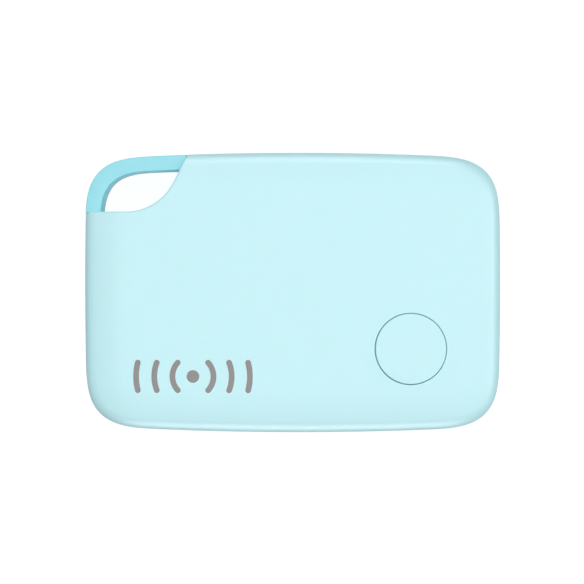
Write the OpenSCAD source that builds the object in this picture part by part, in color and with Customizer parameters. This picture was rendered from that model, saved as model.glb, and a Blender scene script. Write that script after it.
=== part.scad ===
// Bluetooth tracker tag with a keyring loop in one corner, a find button
// and a coin cell behind a lift-off rear cover. Millimetres, +Z out of the
// front face, resting on its rear face with the origin under the middle.

/* [Body] */
// Length of the tag from end to end
body_length = 53.0; // [52:0.2:64]
// Width of the tag from side to side
body_width = 35.7; // [35:0.1:43]
// Thickness of the tag
body_height = 6.0; // [5.9:0.1:7.2]
// Reach of each rounded corner
corner_reach = 9.7; // [9.2:0.1:11.6]
// Squareness of the corners, where 2 is a plain arc
corner_power = 3.6; // [3:0.1:4]
// How far the long sides fall away at the corners
side_bow = 0.83; // [0:0.01:1]
// How far the two ends fall away at the corners
end_bow = 0.26; // [0:0.01:0.4]

/* [Edges] */
// Radius of the tight curve around the rim
rim_radius = 2.0; // [1.7:0.1:2.2]
// Slope of the crowned band where it meets the rim curve
crown_angle = 14.5; // [10:0.5:16]
// Width of the crowned band, measured in from the rim
crown_band = 5.5; // [4:0.1:6]

/* [Walls] */
// Thickness of the front and rear faces
face_wall = 1.0; // [0.8:0.05:1.1]
// Thickness of the covers' side walls
side_wall = 1.6; // [1.4:0.05:1.7]
// Width of the land by which the front cover sits on the frame
seat_width = 1.0; // [0.7:0.05:1.1]
// Open seam between the two covers
seam_gap = 0.10; // [0.06:0.01:0.2]
// Clearance between parts that drop into each other
fit_gap = 0.05; // [0.02:0.01:0.08]

/* [Loop] */
// Width of the loop's bar around the eye
loop_width = 1.85; // [1.6:0.05:2.1]
// How far the loop stands in from the outline of the covers
loop_inset = 0.08; // [0:0.01:0.3]
// Thickness of the loop and of the frame that it is part of
loop_thickness = 3.6; // [2.6:0.1:3.7]
// Distance from the left end to where the cut starts to curve
cut_start = 5.43; // [5:0.05:6.2]
// Distance from the top side down to the level part of the cut
cut_depth = 7.52; // [7:0.05:8.4]
// Radius of the curve in the cut
cut_radius = 6.8; // [6:0.1:7.6]
// Angle that the cut has turned through when it leaves the curve
cut_angle = 65; // [60:1:70]
// Width of the frame's web along the cut
web_width = 2.9; // [2.4:0.1:3]
// Skin of cover left outside the ends of the web
web_skin = 0.80; // [0.7:0.05:1]
// Width of the frame's ring inside the covers
ring_width = 1.2; // [1:0.05:1.4]

/* [Button] */
// Diameter of the button's hole in the front cover
button_hole = 9.1; // [8.6:0.1:10]
// Gap around the button
button_gap = 0.10; // [0.08:0.01:0.2]
// Travel of the button
button_travel = 0.25; // [0.15:0.01:0.28]
// Distance from the right end to the button's centre
button_from_end = 11.5; // [11.2:0.1:12.4]
// Distance from the bottom side to the button's centre
button_from_side = 10.8; // [10.4:0.1:11.4]
// Radius of the rounded edge around the button's face
button_edge = 0.15; // [0.1:0.01:0.25]

/* [Cell] */
// Diameter of the coin cell
cell_diameter = 20.0; // [16:0.5:21]
// Height of the coin cell
cell_height = 3.2; // [2.6:0.1:3.2]
// Distance from the left end to the cell's centre
cell_from_end = 18.0; // [17.6:0.1:19]
// Offset of the cell below the tag's long axis
cell_offset = 1.5; // [1:0.1:2]
// Headroom between the cell and the front face's inside
cell_headroom = 0.45; // [0.4:0.01:0.5]

/* [Board] */
// Thickness of the circuit board
board_thickness = 0.8; // [0.6:0.1:0.8]
// Height of the component space in front of the board
component_space = 1.3; // [1.28:0.01:1.4]
// Gap between the frame's ring and the board's edge
board_gap = 0.5; // [0.3:0.05:0.8]
// Gap around the cell in the board's cut-out
cell_clearance = 0.4; // [0.3:0.05:0.5]
// Diameter of the board screws' shanks
screw_diameter = 1.4; // [1.2:0.1:1.6]
// Diameter of the board screws' heads
screw_head = 2.4; // [2.2:0.1:2.8]

/* [Buzzer] */
// Diameter of the buzzer's brass plate
buzzer_diameter = 12.0; // [10:0.5:12.5]
// Distance from the right end to the buzzer's centre
buzzer_from_end = 11.0; // [10.8:0.1:11.6]
// Distance from the top side to the buzzer's centre
buzzer_from_side = 10.35; // [10.2:0.05:11]

/* [Hidden] */

$fn = 72;
eps = 0.01;

// Steps along a quarter of the outline and up the rim's profile
side_steps = 2;
corner_steps = 13;
end_steps = 4;
rim_steps = 5;
crown_steps = 4;
cut_steps = 14;

half_length = body_length / 2;
half_width = body_width / 2;
mid_z = body_height / 2;

// Heights of the stack
floor_z = face_wall;
ceiling_z = body_height - face_wall;
frame_bottom = mid_z - loop_thickness / 2;
board_top = ceiling_z - component_space;
board_bottom = board_top - board_thickness;
cell_top = ceiling_z - cell_headroom;
cell_bottom = cell_top - cell_height;

// Rim profile
rim_end = rim_radius * (1 - sin(crown_angle));
crown_radius = (crown_band - rim_end) / sin(crown_angle);
crown_drop = crown_radius * (1 - cos(crown_angle));
rim_centre = mid_z - crown_drop - rim_radius * cos(crown_angle);

// Insets of the frame and the board from the outline
ring_outer = side_wall + 2 * fit_gap;
ring_inner = ring_outer + ring_width;
board_inset = ring_inner + board_gap;
seal_recess = 0.25;
seal_outer = side_wall + seal_recess;
seal_width = 0.7;

// Places
cell_x = cell_from_end - half_length;
cell_y = -cell_offset;
cell_radius = cell_diameter / 2;
cutout_radius = cell_radius + cell_clearance;
button_x = half_length - button_from_end;
button_y = button_from_side - half_width;
buzzer_x = half_length - buzzer_from_end;
buzzer_y = half_width - buzzer_from_side;
board_left = cell_x + cutout_radius;
chip_from_cell = 6.6;
chip_x = board_left + chip_from_cell;
chip_y = 2.4;
antenna_from_edge = 1.6;
antenna_x = half_length - board_inset - antenna_from_edge;
antenna_y = -0.2;
screw_from_side = 6.7;
corner_screw_from_end = 6.3;
corner_screw_from_side = 8.1;
upper_screw_from_cell = 2.9;
lower_screw_from_cell = 4.3;
screw_places = [
    [corner_screw_from_end - half_length, corner_screw_from_side - half_width],
    [board_left + upper_screw_from_cell, half_width - screw_from_side],
    [board_left + lower_screw_from_cell, screw_from_side - half_width]];

// Lengths, widths and heights of the board's components
chip_size = [4, 4, 0.75];
main_crystal_size = [2, 1.6, 0.45];
sleep_crystal_size = [3.2, 1.5, 0.7];
antenna_size = [2, 6, 0.8];
small_capacitor = [0.5, 1.0, 0.5];
tank_capacitor = [1.6, 3.2, 0.9];
resistor_size = [0.5, 1.0, 0.35];
inductor_size = [1.2, 0.7, 0.5];
chip_pitch = 1.2;
crystal_drop = 4.2;

// Button stack
cap_radius = button_hole / 2 - button_gap;
cap_skirt = 0.9;
flange_reach = 0.6;
flange_radius = button_hole / 2 + flange_reach;
flange_thickness = 0.25;
flange_top = ceiling_z - fit_gap;
flange_bottom = flange_top - flange_thickness;
recess_radius = cap_radius - cap_skirt;
pad_thickness = 0.25;
pad_nub_radius = 1.1;
switch_size = 4.4;
switch_height = 0.6;
plate_thickness = 0.1;
switch_well = 1.5;
plunger_radius = 0.9;
plunger_foot = 1.3;
plunger_foot_height = 0.08;
dome_thickness = 0.08;
switch_play = 0.02;
nub_gap = 0.01;
plate_top = board_top + switch_height + plate_thickness;
plunger_top = plate_top + button_travel + fit_gap;
plunger_bottom = board_top + switch_height - switch_play - plunger_foot_height;
dome_top = plunger_bottom - button_travel - switch_play;

// Sheet metal, foil and the buzzer's springs
contact_sheet = 0.15;
spring_sheet = 0.12;
crest_at = 3;
tape_thickness = 0.1;
brass_thickness = 0.15;
ceramic_thickness = 0.12;
brass_bottom = ceiling_z - tape_thickness - brass_thickness;
tape_width = 1;
ceramic_inset = 1.5;
ceramic_radius = buzzer_diameter / 2 - ceramic_inset;

// Cell build
can_wall = 0.25;
crimp_height = 0.25;
crimp_reach = 0.9;
cap_inset = 1.4;
cap_lift = 0.95;
cathode_top = 1.75;
cathode_inset = 2.1;
separator_thickness = 0.1;
separator_inset = 1.8;
anode_bottom = cathode_top + separator_thickness;
anode_inset = 2.2;
gasket_width = 0.35;

// A superellipse of unit reach, in polar form
function reach(a) = pow(pow(cos(a), corner_power) + pow(sin(a), corner_power), -1 / corner_power);

// Bows the straight sides, so that they fall away towards the corners
function bowed(p) = [
    p[0] * (1 - end_bow / half_length * pow(p[1] / half_width, 2)),
    p[1] * (1 - side_bow / half_width * pow(p[0] / half_length, 2))];

// One quarter of the outline set in by d, from the right end to the top side
function quarter(d) = concat(
    [for (i = [0 : side_steps - 1])
        [half_length - d, (half_width - corner_reach) * i / side_steps]],
    [for (i = [0 : corner_steps]) let (a = 90 * i / corner_steps)
        [half_length - corner_reach + (corner_reach - d) * reach(a) * cos(a),
         half_width - corner_reach + (corner_reach - d) * reach(a) * sin(a)]],
    [for (i = [end_steps - 1 : -1 : 0])
        [(half_length - corner_reach) * i / end_steps, half_width - d]]);

// The whole outline set in by d, anticlockwise
function outline(d) = let (q = quarter(d), n = len(q) - 1) [
    for (i = [0 : n - 1]) bowed(q[i]),
    for (i = [n : -1 : 1]) bowed([-q[i][0], q[i][1]]),
    for (i = [0 : n - 1]) bowed([-q[i][0], -q[i][1]]),
    for (i = [n : -1 : 1]) bowed([q[i][0], -q[i][1]])];

// Rim profile as [inset, height above the mid-plane], from the seam upwards
profile = concat(
    [[0, seam_gap / 2]],
    [for (i = [0 : rim_steps]) let (a = (90 - crown_angle) * i / rim_steps)
        [rim_radius * (1 - cos(a)), rim_centre + rim_radius * sin(a)]],
    [for (i = [1 : crown_steps]) let (a = crown_angle * (1 - i / crown_steps))
        [crown_band - crown_radius * sin(a), mid_z - crown_radius * (1 - cos(a))]]);

// The part of the outline beyond the corner cut, grown by d into the body
cut_centre = [cut_start - half_length, half_width - cut_depth + cut_radius];
function cut_arc(d, a) = cut_centre + (cut_radius + d) * [sin(a), -cos(a)];
function cut_points(d) = concat(
    [[-body_length, cut_arc(d, 0)[1]]],
    [for (i = [0 : cut_steps]) cut_arc(d, cut_angle * i / cut_steps)],
    [cut_arc(d, cut_angle) + body_width * [cos(cut_angle), sin(cut_angle)]],
    [[-body_length, cut_arc(d, cut_angle)[1] + body_width * sin(cut_angle)]]);

// The outline of the body without the cut corner, set in by d all round
module body_shape(d) {
    difference() {
        polygon(outline(d));
        polygon(cut_points(d));
    }
}

// The tag's upper half as a closed solid, standing on the mid-plane
module half_blank() {
    n = len(outline(0));
    rings = len(profile);
    base = rings * n;
    corners = concat(
        [for (r = profile) for (p = outline(r[0])) [p[0], p[1], r[1]]],
        [[0, 0, profile[0][1]], [0, 0, mid_z]]);
    walls = [for (i = [0 : rings - 2]) for (j = [0 : n - 1]) let (k = (j + 1) % n)
        each [[i * n + j, (i + 1) * n + j, (i + 1) * n + k],
              [i * n + j, (i + 1) * n + k, i * n + k]]];
    ends = [for (j = [0 : n - 1]) let (k = (j + 1) % n, top = (rings - 1) * n)
        each [[base, j, k], [base + 1, top + k, top + j]]];
    polyhedron(points = corners, faces = concat(walls, ends));
}

// A half of the body with its corner cut off and room for the frame
module half_shell() {
    difference() {
        half_blank();
        linear_extrude(body_height)
            polygon(cut_points(fit_gap));
        linear_extrude(loop_thickness / 2)
            polygon(outline(side_wall));
        linear_extrude(loop_thickness / 2)
            intersection() {
                polygon(outline(web_skin));
                polygon(cut_points(web_width + fit_gap));
            }
    }
}

// A closed strip of sheet of thickness t along a path of [along, up] points
function strip(path, t) = concat(path, [for (i = [len(path) - 1 : -1 : 0]) path[i] + [0, t]]);

// Extrudes a profile drawn as [along, up] to a width w, centred across it
module along_x(w) {
    translate([0, w / 2, 0])
        rotate([90, 0, 0])
            linear_extrude(w)
                children();
}

module block(place, size, z) {
    translate([place[0] - size[0] / 2, place[1] - size[1] / 2, z])
        cube(size);
}

module front_cover() {
    boss_wall = 0.8;
    boss_radius = screw_diameter / 2 + boss_wall;
    hole_depth = face_wall * 0.45;
    color("#cdf5fb")
        difference() {
            union() {
                difference() {
                    translate([0, 0, mid_z])
                        half_shell();
                    translate([0, 0, mid_z])
                        linear_extrude(ceiling_z - mid_z)
                            body_shape(side_wall + seat_width);
                }
                for (p = screw_places)
                    translate([p[0], p[1], board_top])
                        cylinder(r = boss_radius, h = ceiling_z - board_top + eps);
            }
            for (p = screw_places)
                translate([p[0], p[1], board_top - eps])
                    cylinder(d = screw_diameter + 2 * fit_gap, h = ceiling_z + hole_depth - board_top);
            translate([button_x, button_y, ceiling_z - 1])
                cylinder(d = button_hole, h = face_wall + 2);
        }
}

module rear_cover() {
    color("#cdf5fb")
        difference() {
            translate([0, 0, mid_z])
                mirror([0, 0, 1])
                    half_shell();
            translate([0, 0, floor_z])
                linear_extrude(mid_z - floor_z)
                    body_shape(seal_outer);
        }
}

module mid_frame() {
    color("#94dce9")
        translate([0, 0, frame_bottom])
            linear_extrude(loop_thickness)
                difference() {
                    union() {
                        intersection() {
                            polygon(outline(loop_inset));
                            polygon(cut_points(0));
                        }
                        intersection() {
                            polygon(outline(web_skin + fit_gap));
                            polygon(cut_points(web_width));
                        }
                        polygon(outline(ring_outer));
                    }
                    intersection() {
                        polygon(outline(loop_inset + loop_width));
                        polygon(cut_points(0));
                    }
                    body_shape(ring_inner);
                }
}

module button_cap() {
    profile_points = [
        [0, flange_top + pad_thickness],
        [recess_radius, flange_top + pad_thickness],
        [recess_radius, flange_bottom],
        [flange_radius, flange_bottom],
        [flange_radius, flange_top],
        [cap_radius, flange_top],
        [cap_radius, body_height - button_edge],
        [cap_radius - button_edge / 2, body_height - button_edge / 4],
        [cap_radius - button_edge, body_height],
        [0, body_height]];
    color("#cef6fc")
        translate([button_x, button_y, 0])
            rotate_extrude()
                polygon(profile_points);
}

module button_pad() {
    nub_bottom = plunger_top + nub_gap;
    color("#5d6468")
        translate([button_x, button_y, 0]) {
            translate([0, 0, flange_top])
                cylinder(r = recess_radius - fit_gap, h = pad_thickness);
            translate([0, 0, nub_bottom])
                cylinder(r = pad_nub_radius, h = flange_top - nub_bottom + eps);
        }
}

module circuit_board() {
    color("#12603c")
        translate([0, 0, board_bottom])
            difference() {
                linear_extrude(board_thickness)
                    body_shape(board_inset);
                translate([cell_x, cell_y, -1])
                    cylinder(r = cutout_radius, h = board_thickness + 2);
                for (p = screw_places)
                    translate([p[0], p[1], -1])
                        cylinder(d = screw_diameter + 6 * fit_gap, h = board_thickness + 2);
            }
}

module bluetooth_chip() {
    color("#26282b")
        block([chip_x, chip_y], chip_size, board_top);
}

module main_crystal() {
    color("#c9c6bd")
        block([chip_x, chip_y - crystal_drop], main_crystal_size, board_top);
}

module sleep_crystal() {
    step_left = 1.4;
    step_up = 4.6;
    color("#b9b6ad")
        block([chip_x - step_left, chip_y + step_up], sleep_crystal_size, board_top);
}

module chip_antenna() {
    color("#e9e6dc")
        block([antenna_x, antenna_y], antenna_size, board_top);
}

module chip_row(start, step, count, size) {
    for (i = [0 : count - 1])
        block(start + i * step, size, board_top);
}

module capacitors() {
    above_chip = 2.9;
    left_of_chip = 3.6;
    left_drop = 2.4;
    left_pitch = 1.7;
    beside_crystal = 2.4;
    tank_from_cell = 1.6;
    tank_y = 5.6;
    color("#b08d63") {
        chip_row([chip_x - 1.5 * chip_pitch, chip_y + above_chip], [chip_pitch, 0], 4, small_capacitor);
        chip_row([chip_x - left_of_chip, chip_y - left_drop], [0, left_pitch], 3, small_capacitor);
        chip_row([chip_x - beside_crystal, chip_y - crystal_drop], [2 * beside_crystal, 0], 2,
            small_capacitor);
        block([board_left + tank_from_cell, tank_y], tank_capacitor, board_top);
    }
}

module resistors() {
    above_button = 6.2;
    right_of_cell = 1.4;
    row_y = -7.6;
    color("#1d1f24") {
        chip_row([button_x - 1.5 * chip_pitch, button_y + above_button], [chip_pitch, 0], 4, resistor_size);
        chip_row([board_left + right_of_cell, row_y], [chip_pitch, 0], 3, resistor_size);
    }
}

module inductors() {
    right_of_chip = 3.6;
    drop = 0.6;
    pitch = 1.9;
    color("#4d4a46")
        chip_row([chip_x + right_of_chip, chip_y - drop], [pitch, 0], 2, inductor_size);
}

module switch_base() {
    color("#1c1c1e")
        translate([button_x, button_y, 0])
            difference() {
                block([0, 0], [switch_size, switch_size, switch_height], board_top);
                translate([0, 0, dome_top - dome_thickness])
                    cylinder(r = switch_well, h = body_height);
            }
}

module switch_dome() {
    color("#d2c58c")
        translate([button_x, button_y, dome_top - dome_thickness])
            cylinder(r = switch_well - fit_gap, h = dome_thickness);
}

module switch_plunger() {
    color("#e4e2da")
        translate([button_x, button_y, plunger_bottom]) {
            cylinder(r = plunger_foot, h = plunger_foot_height);
            cylinder(r = plunger_radius, h = plunger_top - plunger_bottom);
        }
}

module switch_plate() {
    color("#c7c9cb")
        translate([button_x, button_y, 0])
            difference() {
                block([0, 0], [switch_size, switch_size, plate_thickness], board_top + switch_height);
                translate([0, 0, board_top])
                    cylinder(r = plunger_radius + fit_gap, h = body_height);
            }
}

module negative_contact() {
    foot = 1.8;
    rise = 0.9;
    width = 4;
    bow = 0.1;
    edge = 0.3;
    touch = cell_top - board_top;
    bridge = touch + bow;
    right = [
        [1.0, touch],
        [3.0, bridge],
        [cutout_radius + edge - rise, bridge],
        [cutout_radius + edge, 0],
        [cutout_radius + edge + foot, 0]];
    left = [for (i = [len(right) - 1 : -1 : 0]) [-right[i][0], right[i][1]]];
    color("#c3c5c8")
        translate([cell_x, cell_y, board_top])
            along_x(width)
                polygon(strip(concat(left, right), contact_sheet));
}

module positive_contact() {
    touch = cell_radius + fit_gap / 2;
    foot = 1.4;
    overhang = 0.5;
    drop = board_thickness + overhang;
    outer = cutout_radius + foot;
    span = 26;
    turn = -58;
    color("#c3c5c8")
        translate([cell_x, cell_y, board_top])
            rotate([0, 0, turn])
                rotate_extrude(angle = span)
                    polygon([
                        [touch, -drop],
                        [touch + contact_sheet, -drop],
                        [touch + contact_sheet, 0],
                        [outer, 0],
                        [outer, contact_sheet],
                        [touch, contact_sheet]]);
}

// Turns a profile of [radius, height above the cell's lower face]
module cell_turned(points) {
    translate([cell_x, cell_y, cell_bottom])
        rotate_extrude($fn = 96)
            polygon(points);
}

module cell_can() {
    corner = 0.4;
    rim = cell_height - crimp_height;
    color("#c9ccce")
        cell_turned([
            [0, 0],
            [cell_radius - corner, 0],
            [cell_radius - corner * 0.3, corner * 0.3],
            [cell_radius, corner],
            [cell_radius, rim],
            [cell_radius - crimp_reach, rim],
            [cell_radius - crimp_reach, rim - can_wall],
            [cell_radius - can_wall, rim - can_wall],
            [cell_radius - can_wall, can_wall],
            [0, can_wall]]);
}

module cell_cap() {
    cap_edge = cell_radius - cap_inset;
    bevel = 0.15;
    color("#bfc2c4")
        cell_turned([
            [0, cell_height - can_wall],
            [cap_edge - can_wall, cell_height - can_wall],
            [cap_edge - can_wall, cap_lift],
            [cap_edge, cap_lift],
            [cap_edge, cell_height - bevel],
            [cap_edge - bevel, cell_height],
            [0, cell_height]]);
}

module cell_gasket() {
    inner = cell_radius - cap_inset;
    outer = cell_radius - can_wall;
    top = cell_height - crimp_height - can_wall;
    color("#2f3133")
        cell_turned([
            [inner - gasket_width, can_wall],
            [outer, can_wall],
            [outer, top],
            [inner, top],
            [inner, cap_lift],
            [inner - gasket_width, cap_lift]]);
}

// A disc inside the cell, between two heights above its lower face
module cell_disc(radius, low, high) {
    cell_turned([[0, low], [radius, low], [radius, high], [0, high]]);
}

module cell_cathode() {
    color("#2a2a2c")
        cell_disc(cell_radius - cathode_inset, can_wall, cathode_top);
}

module cell_separator() {
    color("#f1efe8")
        cell_disc(cell_radius - separator_inset, cathode_top, anode_bottom);
}

module cell_anode() {
    color("#a9adb2")
        cell_disc(cell_radius - anode_inset, anode_bottom, cell_height - can_wall);
}

module buzzer_plate() {
    color("#c9a24a")
        translate([buzzer_x, buzzer_y, brass_bottom])
            cylinder(d = buzzer_diameter, h = brass_thickness);
}

module buzzer_ceramic() {
    color("#e8e0cc")
        translate([buzzer_x, buzzer_y, brass_bottom - ceramic_thickness])
            cylinder(r = ceramic_radius, h = ceramic_thickness);
}

module buzzer_tape() {
    color("#f4f4f0")
        translate([buzzer_x, buzzer_y, brass_bottom + brass_thickness])
            difference() {
                cylinder(d = buzzer_diameter, h = tape_thickness);
                translate([0, 0, -1])
                    cylinder(d = buzzer_diameter - 2 * tape_width, h = tape_thickness + 2);
            }
}

// A leaf soldered at its foot, whose crest touches at the height given
module leaf_spring(crest) {
    width = 1;
    foot = 1.2;
    tail = 0.5;
    tail_drop = 0.12;
    under = crest - spring_sheet;
    along_x(width)
        polygon(strip([[0, 0], [foot, 0], [crest_at, under], [crest_at + tail, under - tail_drop]],
            spring_sheet));
}

module buzzer_springs() {
    plate_touch = brass_bottom - board_top;
    side_step = 1.5;
    brass_step = 0.9;
    color("#cfae5a") {
        translate([buzzer_x - crest_at, buzzer_y - side_step, board_top])
            leaf_spring(plate_touch - ceramic_thickness);
        translate([buzzer_x, buzzer_y + ceramic_radius + brass_step - crest_at, board_top])
            rotate([0, 0, 90])
                leaf_spring(plate_touch);
    }
}

module board_screws() {
    head_height = 0.5;
    recess = 0.28;
    slot = [screw_head * 0.6, 0.3, recess * 2];
    bite = face_wall * 0.4;
    shank = ceiling_z + bite - board_bottom;
    color("#b4b6b8")
        for (p = screw_places)
            translate([p[0], p[1], board_bottom])
                difference() {
                    union() {
                        translate([0, 0, -head_height])
                            cylinder(d = screw_head, h = head_height);
                        cylinder(d = screw_diameter, h = shank);
                    }
                    for (a = [0, 90])
                        rotate([0, 0, a])
                            block([0, 0], slot, -head_height - recess);
                }
}

module cell_foam() {
    inset = 4;
    color("#3a3c3f")
        translate([cell_x, cell_y, floor_z])
            cylinder(r = cell_radius - inset, h = cell_bottom - floor_z);
}

module seal_ring() {
    color("#7d8487")
        translate([0, 0, floor_z])
            linear_extrude(frame_bottom - floor_z)
                difference() {
                    body_shape(seal_outer + fit_gap);
                    body_shape(seal_outer + fit_gap + seal_width);
                }
}

front_cover();
mid_frame();
rear_cover();
button_cap();
button_pad();
circuit_board();
bluetooth_chip();
main_crystal();
sleep_crystal();
chip_antenna();
capacitors();
resistors();
inductors();
switch_base();
switch_dome();
switch_plunger();
switch_plate();
negative_contact();
positive_contact();
cell_can();
cell_cap();
cell_gasket();
cell_anode();
cell_cathode();
cell_separator();
buzzer_plate();
buzzer_ceramic();
buzzer_tape();
buzzer_springs();
board_screws();
cell_foam();
seal_ring();
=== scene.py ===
import math

import bmesh
import bpy
import numpy as np
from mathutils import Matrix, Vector
from mathutils.geometry import delaunay_2d_cdt


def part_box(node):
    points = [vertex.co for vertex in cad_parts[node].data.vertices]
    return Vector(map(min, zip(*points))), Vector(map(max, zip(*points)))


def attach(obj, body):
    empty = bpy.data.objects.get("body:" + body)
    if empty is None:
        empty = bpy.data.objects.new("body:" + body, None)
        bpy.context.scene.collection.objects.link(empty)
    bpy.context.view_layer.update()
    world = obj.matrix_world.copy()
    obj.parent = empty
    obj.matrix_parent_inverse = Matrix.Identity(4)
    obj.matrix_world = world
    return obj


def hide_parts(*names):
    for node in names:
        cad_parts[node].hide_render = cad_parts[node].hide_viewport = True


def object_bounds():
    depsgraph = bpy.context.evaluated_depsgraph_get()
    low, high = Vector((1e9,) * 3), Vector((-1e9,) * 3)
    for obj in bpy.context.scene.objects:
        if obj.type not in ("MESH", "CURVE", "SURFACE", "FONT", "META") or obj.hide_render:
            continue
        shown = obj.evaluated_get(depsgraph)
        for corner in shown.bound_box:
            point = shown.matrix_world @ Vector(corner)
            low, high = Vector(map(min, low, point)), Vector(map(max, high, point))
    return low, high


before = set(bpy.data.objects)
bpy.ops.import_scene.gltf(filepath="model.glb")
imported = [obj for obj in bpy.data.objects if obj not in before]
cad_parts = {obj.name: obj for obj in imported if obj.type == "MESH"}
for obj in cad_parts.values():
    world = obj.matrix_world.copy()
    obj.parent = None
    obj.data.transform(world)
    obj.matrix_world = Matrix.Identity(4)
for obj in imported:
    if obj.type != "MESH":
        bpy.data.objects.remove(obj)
cad_low, cad_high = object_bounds()

# Shapes are worked out in millimetres and become metres as their meshes are made.
MM = 0.001
TINY = 1e-6

# ---------------------------------------------------------------- sizes from the frame


def node_box(name):
    """A node's lowest and highest corners in millimetres."""
    low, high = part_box(name)
    return Vector(low) / MM, Vector(high) / MM


def solid_boxes(name):
    """The box of each separate solid in a node, in millimetres."""
    bm = bmesh.new()
    bm.from_mesh(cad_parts[name].data)
    bmesh.ops.remove_doubles(bm, verts=bm.verts, dist=TINY)
    left = set(bm.verts)
    boxes = []
    while left:
        island = [left.pop()]
        for vertex in island:
            for edge in vertex.link_edges:
                other = edge.other_vert(vertex)
                if other in left:
                    left.remove(other)
                    island.append(other)
        spread = np.array([v.co for v in island]) / MM
        boxes.append((Vector(spread.min(axis=0)), Vector(spread.max(axis=0))))
    bm.free()
    return sorted(boxes, key=lambda box: tuple(box[0]))


HALF_LENGTH = (cad_high.x - cad_low.x) / 2 / MM
HALF_WIDTH = (cad_high.y - cad_low.y) / 2 / MM
HEIGHT = cad_high.z / MM
MID = HEIGHT / 2

# Outline of the body: rounded corners on slightly bowed sides. A corner is CORNER_ARC reaches long.
CORNER_REACH = 9.7
CORNER_POWER = 3.6
CORNER_ARC = 1.72
SIDE_BOW = 0.83
END_BOW = 0.26

# Rim and crown
RIM_RADIUS = 2.0
CROWN_ANGLE = math.radians(14.5)
CROWN_BAND = 5.5
FLAT_START = CROWN_BAND + 0.2
RIM_END = RIM_RADIUS * (1 - math.sin(CROWN_ANGLE))
CROWN_RADIUS = (CROWN_BAND - RIM_END) / math.sin(CROWN_ANGLE)
RIM_CENTRE = HEIGHT - CROWN_RADIUS * (1 - math.cos(CROWN_ANGLE)) - RIM_RADIUS * math.cos(CROWN_ANGLE)

# Walls, seam and clearances
FACE_WALL = 1.0
SIDE_WALL = 1.6
SEAT_WIDTH = 1.0
SEAL_RECESS = 0.25
SEAM_GAP = 0.10
FIT_GAP = 0.05
WEB_SKIN = 0.80
WEB_WIDTH = 2.9
RING_WIDTH = 1.2
RING_OUTER = SIDE_WALL + 2 * FIT_GAP
RING_INNER = RING_OUTER + RING_WIDTH
SEAM = MID + SEAM_GAP / 2
CEILING = HEIGHT - FACE_WALL

# How far a cutting tool reaches past what it cuts
OVERCUT = 1.0

# Corner cut: straight in from the left edge, round an arc and straight out over the top edge
CUT_START = 5.43
CUT_DEPTH = 7.52
CUT_RADIUS = 6.8
CUT_ANGLE = math.radians(65)
CUT_CENTRE = np.array([CUT_START - HALF_LENGTH, HALF_WIDTH - CUT_DEPTH + CUT_RADIUS])
CUT_EDGE = 0.30
SIDE_EDGE = 0.12

# Keyring loop
LOOP_INSET = 0.11
LOOP_WIDTH = 1.95
LOOP_EDGE = 0.14

# Button: the cap sits a little off the middle of its hole, as in the photo
BUTTON_LOW, BUTTON_HIGH = node_box("button_cap")
BUTTON_CENTRE = np.array([(BUTTON_LOW.x + BUTTON_HIGH.x) / 2, (BUTTON_LOW.y + BUTTON_HIGH.y) / 2])
HOLE_RADIUS = 4.55
CAP_GAP = 0.076
CAP_RADIUS = HOLE_RADIUS - CAP_GAP
CAP_SHIFT = np.array([0.022, 0.012])
CAP_CENTRE = BUTTON_CENTRE + CAP_SHIFT
LIP_WIDTH = 1.3
LIP_HEIGHT = 0.05

FRAME_LOW, FRAME_HIGH = node_box("mid_frame")

# ---------------------------------------------------------------- outline and profile


def reach(angle):
    """Polar radius of a superellipse of unit reach."""
    total = abs(math.cos(angle)) ** CORNER_POWER + abs(math.sin(angle)) ** CORNER_POWER
    return total ** (-1 / CORNER_POWER)


SIDE_RUN = HALF_WIDTH - CORNER_REACH
END_RUN = HALF_LENGTH - CORNER_REACH
CORNER_RUN = CORNER_ARC * CORNER_REACH
QUARTER_RUN = SIDE_RUN + CORNER_RUN + END_RUN
CORNER_T = (END_RUN + CORNER_RUN / 2) / QUARTER_RUN


def ring_point(inset, t):
    """Point on the outline set in by inset. t runs anticlockwise, one unit for each quarter."""
    quarter = int(math.floor(t)) % 4
    part = t - math.floor(t)
    run = (1 - part if quarter % 2 else part) * QUARTER_RUN
    if run <= SIDE_RUN:
        x, y = HALF_LENGTH - inset, run
    elif run <= SIDE_RUN + CORNER_RUN:
        angle = (run - SIDE_RUN) / CORNER_RUN * math.pi / 2
        spread = (CORNER_REACH - inset) * reach(angle)
        x = END_RUN + spread * math.cos(angle)
        y = SIDE_RUN + spread * math.sin(angle)
    else:
        x, y = QUARTER_RUN - run, HALF_WIDTH - inset
    bowed_x = x * (1 - END_BOW / HALF_LENGTH * (y / HALF_WIDTH) ** 2)
    bowed_y = y * (1 - SIDE_BOW / HALF_WIDTH * (x / HALF_LENGTH) ** 2)
    return np.array([-bowed_x if quarter in (1, 2) else bowed_x,
                     -bowed_y if quarter in (2, 3) else bowed_y])


def ring_outward(inset, t):
    """Unit horizontal normal of the outline."""
    along = ring_point(inset, t + 1e-4) - ring_point(inset, t - 1e-4)
    along = along / np.linalg.norm(along)
    return np.array([along[1], -along[0]])


def cut_distance(point):
    """Distance past the corner cut: positive in the eye, negative in the body."""
    v = point - CUT_CENTRE
    if v[0] <= 0:
        return v[1] + CUT_RADIUS
    if math.atan2(v[0], -v[1]) <= CUT_ANGLE:
        return CUT_RADIUS - math.hypot(*v)
    return -v[0] * math.sin(CUT_ANGLE) + v[1] * math.cos(CUT_ANGLE) + CUT_RADIUS


def cut_outward(point):
    """Unit horizontal normal of the cut's wall, towards the eye."""
    v = point - CUT_CENTRE
    if v[0] <= 0:
        return np.array([0.0, 1.0])
    if math.atan2(v[0], -v[1]) <= CUT_ANGLE:
        return -v / np.linalg.norm(v)
    return np.array([-math.sin(CUT_ANGLE), math.cos(CUT_ANGLE)])


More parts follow.
